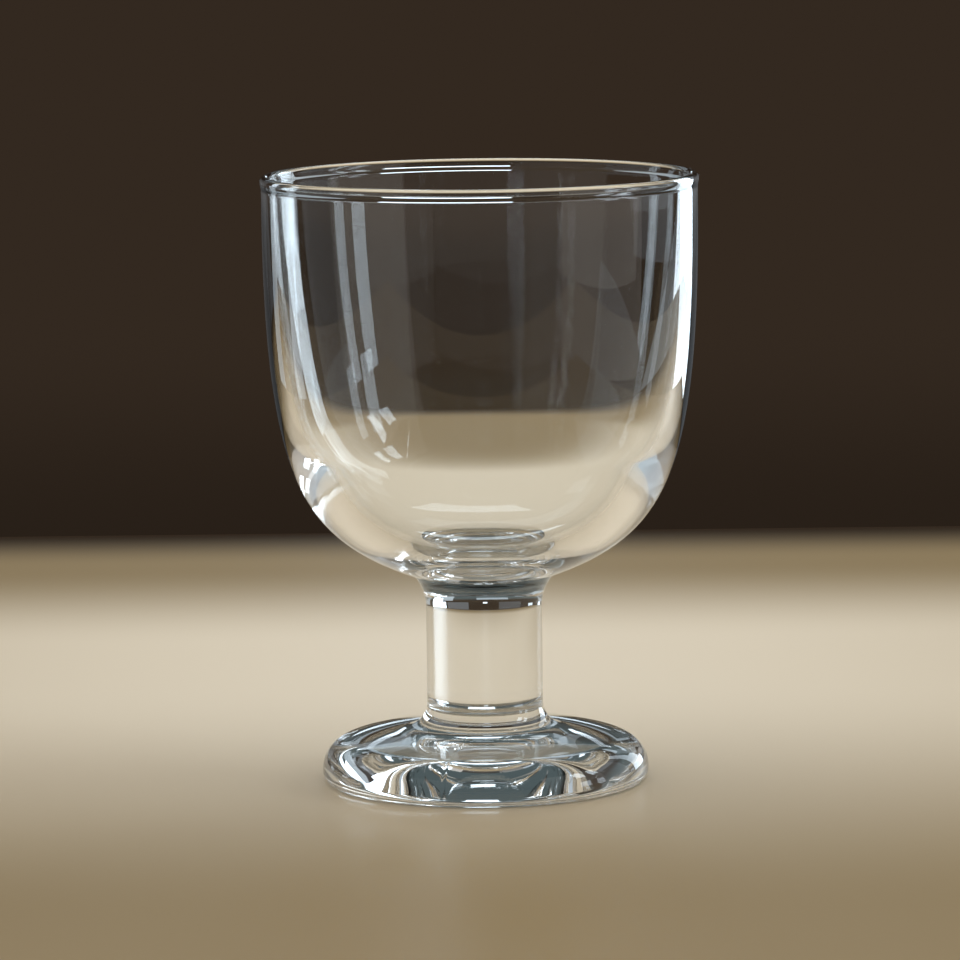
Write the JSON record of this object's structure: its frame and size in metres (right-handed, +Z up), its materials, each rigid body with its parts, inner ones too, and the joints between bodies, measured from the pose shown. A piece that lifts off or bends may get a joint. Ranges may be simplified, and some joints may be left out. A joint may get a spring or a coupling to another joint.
{
  "type": "goblet",
  "caption": "Short-stemmed clear glass goblet: deep round bowl with a beaded rim, solid round stem with a flared top, and a heavy foot with a sloping top and a flat resting ring.",
  "frame": {"origin": "on the table surface, under the middle of the foot", "axes": "+Z up along the axis of the stem, from the foot to the rim; X and Y are free, because the goblet is round"},
  "size_m": [0.0956, 0.0956, 0.1336],
  "materials": {
    "clear_glass": "clear soda-lime glass, smooth and fire polished"
  },
  "bodies": {
    "root": {"bowl": "clear_glass", "stem": "clear_glass", "foot": "clear_glass"}
  },
  "joints": []
}
